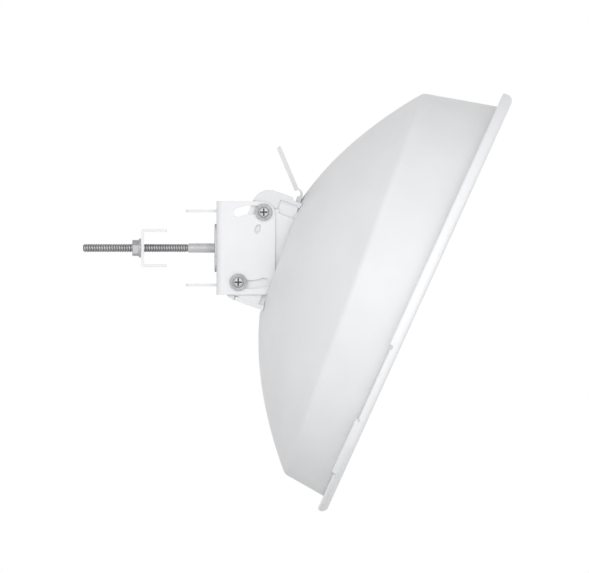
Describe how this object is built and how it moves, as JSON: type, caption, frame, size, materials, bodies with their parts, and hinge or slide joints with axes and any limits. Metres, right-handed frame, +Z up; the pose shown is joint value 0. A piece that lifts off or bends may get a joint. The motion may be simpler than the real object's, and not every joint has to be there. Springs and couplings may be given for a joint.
{
  "type": "outdoor wireless bridge",
  "caption": "Shrouded dish radio on a tilting bracket, with a bolted pole clamp, a lock lever and a port door.",
  "frame": {"origin": "on the pole's axis, at the height of the clamp bolts", "axes": "+Z up along the pole, +X from the pole towards the dish, +Y to the far side"},
  "size_m": [0.4311, 0.459, 0.4198],
  "materials": {
    "white_steel": "white powder coat",
    "white_dish": "fine white powder coat",
    "white_plastic": "fine moulded texture",
    "zinc": "bright zinc plate",
    "stainless": "drawn",
    "tinned": "tinned",
    "aluminium": "mill",
    "copper": "drawn copper jacket",
    "seal": "matte",
    "board": "solder mask",
    "black_plastic": "moulded",
    "nylon": "natural",
    "clear": "clear"
  },
  "bodies": {
    "pole_mount": {"mount_bracket": "white_steel", "bolt_retainer": "zinc", "carriage_bolts": "zinc"},
    "loose_jaw": {"clamp_jaw": "white_steel"},
    "near_nut": {"clamp_nut_near": "zinc"},
    "far_nut": {"clamp_nut_far": "zinc"},
    "tilt_unit": {"tilt_bracket": "white_steel", "tilt_screws": "zinc", "tilt_washers": "zinc", "clinch_nuts": "zinc", "hub_screws": "zinc", "reflector": "white_dish", "shroud": "white_dish", "rim_ring": "white_plastic", "housing_shell": "white_plastic", "housing_cover": "white_plastic", "housing_front": "white_plastic", "housing_gasket": "seal", "circuit_board": "board", "rf_shield": "tinned", "heat_spreader": "aluminium", "ethernet_jack": "black_plastic", "light_pipe": "clear", "ground_screw": "zinc", "lever_pin": "stainless", "door_pin": "stainless", "feed_tube": "white_plastic", "hub_gasket": "seal", "feed_base": "white_plastic", "feed_board": "board", "sub_reflector": "aluminium", "feed_posts": "nylon", "feed_coax": "copper", "feed_cap": "white_plastic"},
    "lever": {"lock_lever": "white_plastic"},
    "button": {"reset_button": "black_plastic"},
    "door": {"port_door": "white_plastic"}
  },
  "joints": [
    {"name": "jaw_slide", "type": "slide", "parent": "pole_mount", "child": "loose_jaw", "axis": [1, 0, 0], "range_m": [-0.045, 0.008]},
    {"name": "near_nut_turn", "type": "hinge", "parent": "loose_jaw", "child": "near_nut", "pos_m": [-0.03, -0.029, 0], "axis": [1, 0, 0], "range_deg": [-6500, 1170]},
    {"name": "far_nut_turn", "type": "hinge", "parent": "loose_jaw", "child": "far_nut", "pos_m": [-0.03, 0.029, 0], "axis": [1, 0, 0], "range_deg": [-6500, 1170]},
    {"name": "tilt", "type": "hinge", "parent": "pole_mount", "child": "tilt_unit", "pos_m": [0.0834, 0, 0.0008], "axis": [0, -1, 0], "range_deg": [0, 40]},
    {"name": "lever_hinge", "type": "hinge", "parent": "tilt_unit", "child": "lever", "pos_m": [0.13169, 0, 0.04984], "axis": [0, -1, 0], "range_deg": [0, 47]},
    {"name": "door_hinge", "type": "hinge", "parent": "tilt_unit", "child": "door", "pos_m": [0.06933, 0, -0.05101], "axis": [0, 1, 0], "range_deg": [0, 90]},
    {"name": "button_press", "type": "slide", "parent": "tilt_unit", "child": "button", "axis": [0.342, 0, 0.9397], "range_m": [0, 0.0008], "stiffness_N_per_m": 400, "springref_m": -0.001}
  ],
  "couplings": [
    {"joint": "near_nut_turn", "follows": "jaw_slide", "rad_per_m": 2513.3},
    {"joint": "far_nut_turn", "follows": "jaw_slide", "rad_per_m": 2513.3}
  ]
}
